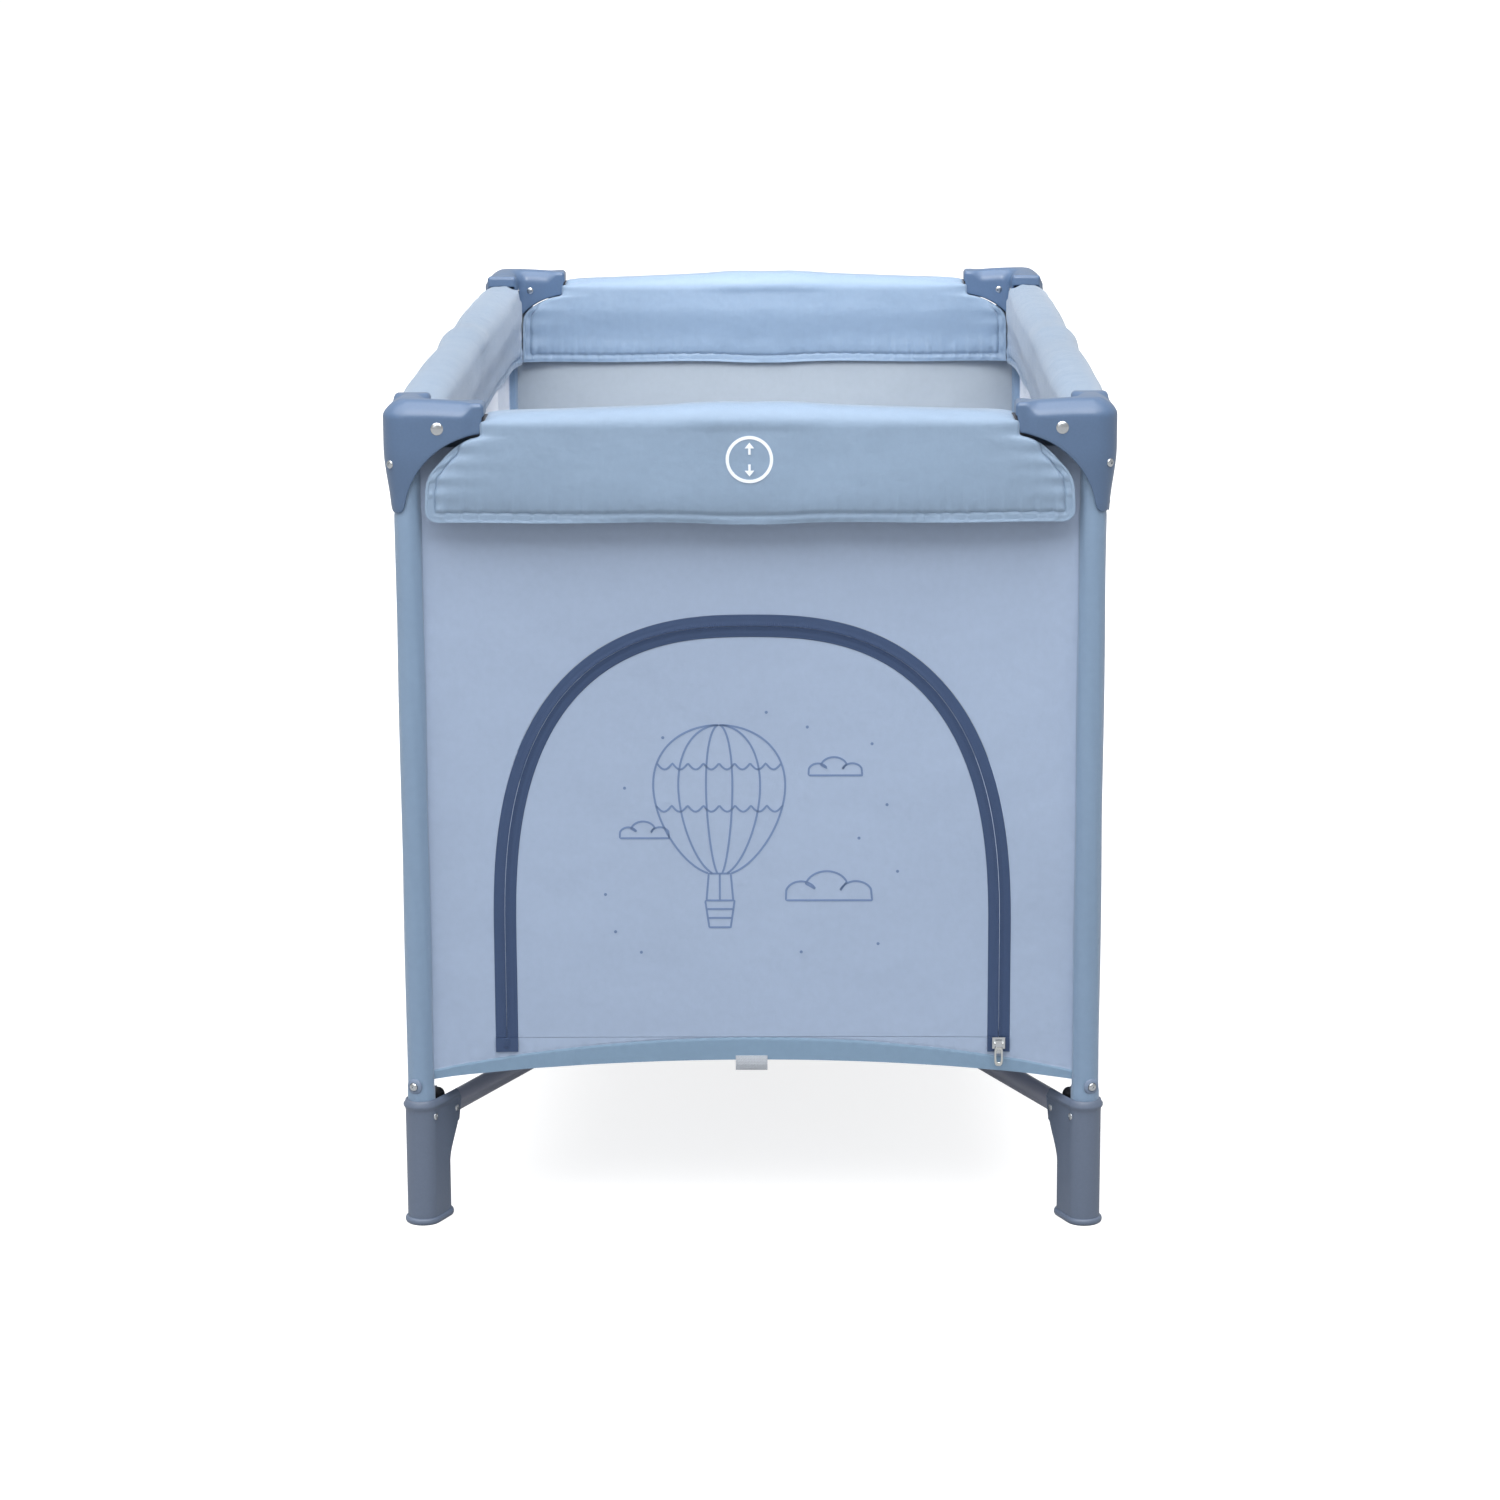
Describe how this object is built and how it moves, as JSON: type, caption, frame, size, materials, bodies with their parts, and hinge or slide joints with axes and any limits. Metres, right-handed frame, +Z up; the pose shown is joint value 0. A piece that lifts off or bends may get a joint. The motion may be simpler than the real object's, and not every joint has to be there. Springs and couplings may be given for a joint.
{
  "type": "folding playpen",
  "caption": "Folding travel cot playpen: tube frame with corner caps and feet, padded rails, cloth end walls, mesh sides, a zip door and a floor hub.",
  "frame": {"origin": "on the floor under the middle of the pen", "axes": "+Z up, Y along the pen, X across it, the zip door faces -Y"},
  "size_m": [0.666, 1.266, 0.785],
  "materials": {
    "cap_plastic": "satin moulded plastic, slate blue",
    "post_sleeve": "painted steel tube in a fabric sleeve",
    "foot_plastic": "fine grained moulded plastic",
    "plated_steel": "zinc plated steel",
    "rail_tube": "powder coated steel tube",
    "dark_plastic": "moulded plastic",
    "button_plastic": "moulded plastic",
    "dark_tube": "powder coated steel tube",
    "pad_cloth": "padded satin weave polyester",
    "wall_cloth": "satin weave polyester",
    "mesh": "open warp knit mesh",
    "mattress_cloth": "quilted polyester over boards",
    "zip_tape": "woven tape and nylon coil",
    "zip_metal": "plated die cast zinc",
    "tab_tape": "hook and loop tape",
    "strap_webbing": "woven webbing"
  },
  "bodies": {
    "post_front_left": {"cap_front_left": "cap_plastic", "post_front_left": "post_sleeve", "foot_front_left": "foot_plastic", "fasteners_front_left": "plated_steel", "wall_front": "wall_cloth", "mesh_left": "mesh", "zip_tapes": "zip_tape", "hem_tab": "tab_tape", "floor_cloth": "wall_cloth"},
    "post_front_right": {"cap_front_right": "cap_plastic", "post_front_right": "post_sleeve", "foot_front_right": "foot_plastic", "fasteners_front_right": "plated_steel", "mesh_right": "mesh"},
    "post_back_left": {"cap_back_left": "cap_plastic", "post_back_left": "post_sleeve", "foot_back_left": "foot_plastic", "fasteners_back_left": "plated_steel", "wall_back": "wall_cloth"},
    "post_back_right": {"cap_back_right": "cap_plastic", "post_back_right": "post_sleeve", "foot_back_right": "foot_plastic", "fasteners_back_right": "plated_steel"},
    "front_rail_left": {"rail_front_l": "rail_tube", "pad_front_l": "pad_cloth"},
    "front_rail_right": {"rail_front_r": "rail_tube", "pad_front_r": "pad_cloth"},
    "back_rail_left": {"rail_back_l": "rail_tube", "pad_back_l": "pad_cloth"},
    "back_rail_right": {"rail_back_r": "rail_tube", "pad_back_r": "pad_cloth"},
    "left_rail_front": {"rail_left_f": "rail_tube", "pad_left_f": "pad_cloth"},
    "left_rail_back": {"rail_left_b": "rail_tube", "pad_left_b": "pad_cloth"},
    "right_rail_front": {"rail_right_f": "rail_tube", "pad_right_f": "pad_cloth"},
    "right_rail_back": {"rail_right_b": "rail_tube", "pad_right_b": "pad_cloth"},
    "front_lock": {"lock_case_front": "dark_plastic"},
    "front_button": {"lock_button_front": "button_plastic"},
    "back_lock": {"lock_case_back": "dark_plastic"},
    "back_button": {"lock_button_back": "button_plastic"},
    "left_lock": {"lock_case_left": "dark_plastic"},
    "left_button": {"lock_button_left": "button_plastic"},
    "right_lock": {"lock_case_right": "dark_plastic"},
    "right_button": {"lock_button_right": "button_plastic"},
    "base_tube_fl": {"base_tube_fl": "dark_tube"},
    "base_tube_fr": {"base_tube_fr": "dark_tube"},
    "base_tube_bl": {"base_tube_bl": "dark_tube"},
    "base_tube_br": {"base_tube_br": "dark_tube"},
    "hub": {"hub_body": "dark_plastic", "hub_cover": "dark_plastic", "hub_pins": "plated_steel", "pull_strap": "strap_webbing"},
    "mattress": {"mattress": "mattress_cloth"},
    "door": {"door_cloth": "wall_cloth"},
    "zip_end": {"zip_stop": "zip_metal"},
    "zip_slider": {"zip_slider": "zip_metal"},
    "zip_pull": {"zip_pull": "zip_metal"}
  },
  "joints": [
    {"name": "fold", "type": "hinge", "parent": "post_front_left", "child": "front_rail_left", "pos_m": [-0.283, -0.613, 0.76], "axis": [0, 1, 0], "range_deg": [0, 82], "deforming": ["wall_front", "wall_back", "mesh_left", "mesh_right", "floor_cloth", "mattress", "zip_tapes", "hem_tab", "door_cloth", "pad_front_l", "pad_front_r", "pad_back_l", "pad_back_r", "pad_left_f", "pad_left_b", "pad_right_f", "pad_right_b"]},
    {"name": "front_lock_left", "type": "hinge", "parent": "front_rail_left", "child": "front_lock", "pos_m": [-0.0278, -0.613, 0.76], "axis": [0, 1, 0], "range_deg": [-82, 0]},
    {"name": "front_lock_right", "type": "hinge", "parent": "front_lock", "child": "front_rail_right", "pos_m": [0.0278, -0.613, 0.76], "axis": [0, 1, 0], "range_deg": [-82, 0]},
    {"name": "front_cap_right", "type": "hinge", "parent": "front_rail_right", "child": "post_front_right", "pos_m": [0.283, -0.613, 0.76], "axis": [0, 1, 0], "range_deg": [0, 82]},
    {"name": "left_cap_front", "type": "hinge", "parent": "post_front_left", "child": "left_rail_front", "pos_m": [-0.313, -0.583, 0.76], "axis": [-1, 0, 0], "range_deg": [0, 82]},
    {"name": "left_lock_front", "type": "hinge", "parent": "left_rail_front", "child": "left_lock", "pos_m": [-0.313, -0.0278, 0.76], "axis": [-1, 0, 0], "range_deg": [-82, 0]},
    {"name": "left_lock_back", "type": "hinge", "parent": "left_lock", "child": "left_rail_back", "pos_m": [-0.313, 0.0278, 0.76], "axis": [-1, 0, 0], "range_deg": [-82, 0]},
    {"name": "left_cap_back", "type": "hinge", "parent": "left_rail_back", "child": "post_back_left", "pos_m": [-0.313, 0.583, 0.76], "axis": [-1, 0, 0], "range_deg": [0, 82]},
    {"name": "right_cap_front", "type": "hinge", "parent": "post_front_right", "child": "right_rail_front", "pos_m": [0.313, -0.583, 0.76], "axis": [-1, 0, 0], "range_deg": [0, 82]},
    {"name": "right_lock_front", "type": "hinge", "parent": "right_rail_front", "child": "right_lock", "pos_m": [0.313, -0.0278, 0.76], "axis": [-1, 0, 0], "range_deg": [-82, 0]},
    {"name": "right_lock_back", "type": "hinge", "parent": "right_lock", "child": "right_rail_back", "pos_m": [0.313, 0.0278, 0.76], "axis": [-1, 0, 0], "range_deg": [-82, 0]},
    {"name": "right_cap_back", "type": "hinge", "parent": "right_rail_back", "child": "post_back_right", "pos_m": [0.313, 0.583, 0.76], "axis": [-1, 0, 0], "range_deg": [0, 82]},
    {"name": "back_cap_left", "type": "hinge", "parent": "post_back_left", "child": "back_rail_left", "pos_m": [-0.283, 0.613, 0.76], "axis": [0, 1, 0], "range_deg": [0, 82]},
    {"name": "back_lock_left", "type": "hinge", "parent": "back_rail_left", "child": "back_lock", "pos_m": [-0.0278, 0.613, 0.76], "axis": [0, 1, 0], "range_deg": [-82, 0]},
    {"name": "back_lock_right", "type": "hinge", "parent": "back_lock", "child": "back_rail_right", "pos_m": [0.0278, 0.613, 0.76], "axis": [0, 1, 0], "range_deg": [-82, 0]},
    {"name": "foot_front_left", "type": "hinge", "parent": "post_front_left", "child": "base_tube_fl", "pos_m": [-0.29462, -0.57302, 0.101], "axis": [0.9086, -0.4176, 0], "range_deg": [0, 82]},
    {"name": "hub_front_left", "type": "hinge", "parent": "base_tube_fl", "child": "hub", "pos_m": [-0.03943, -0.01782, 0.101], "axis": [0.9086, -0.4176, 0], "range_deg": [-82, 0]},
    {"name": "hub_front_right", "type": "hinge", "parent": "hub", "child": "base_tube_fr", "pos_m": [0.03943, -0.01782, 0.101], "axis": [0.9086, 0.4176, 0], "range_deg": [0, 82]},
    {"name": "hub_back_left", "type": "hinge", "parent": "hub", "child": "base_tube_bl", "pos_m": [-0.03943, 0.01782, 0.101], "axis": [-0.9086, -0.4176, 0], "range_deg": [0, 82]},
    {"name": "hub_back_right", "type": "hinge", "parent": "hub", "child": "base_tube_br", "pos_m": [0.03943, 0.01782, 0.101], "axis": [-0.9086, 0.4176, 0], "range_deg": [0, 82]},
    {"name": "mattress_lift", "type": "slide", "parent": "hub", "child": "mattress", "axis": [0, 0, 1], "range_m": [0, 0.101]},
    {"name": "zip_gather", "type": "slide", "parent": "post_front_left", "child": "zip_end", "axis": [-1, 0, 0], "range_m": [0, 0.3832]},
    {"name": "front_button", "type": "slide", "parent": "front_lock", "child": "front_button", "axis": [0, 1, 0], "range_m": [0, 0.004], "stiffness_N_per_m": 400, "springref_m": -0.0015},
    {"name": "back_button", "type": "slide", "parent": "back_lock", "child": "back_button", "axis": [0, -1, 0], "range_m": [0, 0.004], "stiffness_N_per_m": 400, "springref_m": -0.0015},
    {"name": "left_button", "type": "slide", "parent": "left_lock", "child": "left_button", "axis": [1, 0, 0], "range_m": [0, 0.004], "stiffness_N_per_m": 400, "springref_m": -0.0015},
    {"name": "right_button", "type": "slide", "parent": "right_lock", "child": "right_button", "axis": [-1, 0, 0], "range_m": [0, 0.004], "stiffness_N_per_m": 400, "springref_m": -0.0015},
    {"name": "zip_slide", "type": "slide", "parent": "zip_end", "child": "zip_slider", "axis": [0, 0, 1], "range_m": [0, 0.17]},
    {"name": "zip_pull_swing", "type": "hinge", "parent": "zip_slider", "child": "zip_pull", "pos_m": [0.2315, -0.614, 0.175], "axis": [-1, 0, 0], "range_deg": [0, 160]},
    {"name": "door_drop", "type": "hinge", "parent": "post_front_left", "child": "door", "pos_m": [0, -0.609, 0.1793], "axis": [1, 0, 0], "range_deg": [0, 100]}
  ],
  "couplings": [
    {"joint": "front_lock_left", "follows": "fold", "ratio": -1},
    {"joint": "front_lock_right", "follows": "fold", "ratio": -1},
    {"joint": "front_cap_right", "follows": "fold", "ratio": 1},
    {"joint": "left_cap_front", "follows": "fold", "ratio": 1},
    {"joint": "left_lock_front", "follows": "fold", "ratio": -1},
    {"joint": "left_lock_back", "follows": "fold", "ratio": -1},
    {"joint": "left_cap_back", "follows": "fold", "ratio": 1},
    {"joint": "right_cap_front", "follows": "fold", "ratio": 1},
    {"joint": "right_lock_front", "follows": "fold", "ratio": -1},
    {"joint": "right_lock_back", "follows": "fold", "ratio": -1},
    {"joint": "right_cap_back", "follows": "fold", "ratio": 1},
    {"joint": "back_cap_left", "follows": "fold", "ratio": 1},
    {"joint": "back_lock_left", "follows": "fold", "ratio": -1},
    {"joint": "back_lock_right", "follows": "fold", "ratio": -1},
    {"joint": "foot_front_left", "follows": "fold", "ratio": 1},
    {"joint": "hub_front_left", "follows": "fold", "ratio": -1},
    {"joint": "hub_front_right", "follows": "fold", "ratio": 1},
    {"joint": "hub_back_left", "follows": "fold", "ratio": 1},
    {"joint": "hub_back_right", "follows": "fold", "ratio": 1},
    {"joint": "mattress_lift", "follows": "fold", "m_per_rad": 0.069873},
    {"joint": "zip_gather", "follows": "fold", "m_per_rad": 0.26703}
  ]
}
